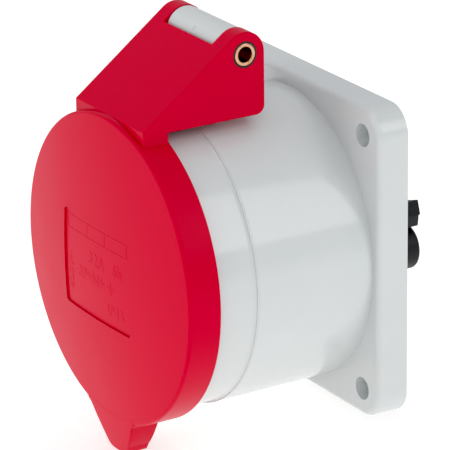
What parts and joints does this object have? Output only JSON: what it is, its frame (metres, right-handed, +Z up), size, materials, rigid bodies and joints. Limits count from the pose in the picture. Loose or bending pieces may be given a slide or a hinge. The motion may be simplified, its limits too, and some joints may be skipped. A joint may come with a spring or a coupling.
{
  "type": "industrial panel socket",
  "caption": "Straight flanged panel socket for a round industrial plug: grey housing with square flange, red spring-closed domed lid, black contact insert with screw terminals.",
  "frame": {"origin": "centre of the flange's panel face, in the middle of the four fixing holes", "axes": "socket opens towards -Y, terminals towards +Y behind the panel, hinge at the top, +Z up"},
  "size_m": [0.085, 0.0866, 0.1147],
  "materials": {
    "grey_polyamide": "satin moulded polyamide",
    "red_polyamide": "gloss moulded polyamide",
    "black_polyamide": "moulded polyamide",
    "seal_rubber": "matt",
    "brass": "turned",
    "steel": "zinc plated",
    "hinge_tube": "drawn tube"
  },
  "bodies": {
    "socket": {"housing": "grey_polyamide", "hinge_pin": "hinge_tube", "lid_spring": "steel", "flange_seal": "seal_rubber", "contact_carrier": "black_polyamide", "terminal_block": "black_polyamide", "contact_pe": "brass", "contact_n": "brass", "contact_l3": "brass", "contact_l2": "brass", "contact_l1": "brass", "ring_pe": "steel", "ring_n": "steel", "ring_l3": "steel", "ring_l2": "steel", "ring_l1": "steel", "terminal_screws": "steel", "carrier_screws": "steel", "block_screw": "steel"},
    "lid": {"lid": "red_polyamide", "lid_gasket": "seal_rubber"}
  },
  "joints": [
    {"name": "lid_hinge", "type": "hinge", "parent": "socket", "child": "lid", "pos_m": [0, -0.0332, 0.0562], "axis": [-1, 0, 0], "range_deg": [0, 110], "stiffness_Nm_per_rad": 0.08, "springref_deg": -85.94, "deforming": ["lid_spring"]}
  ]
}
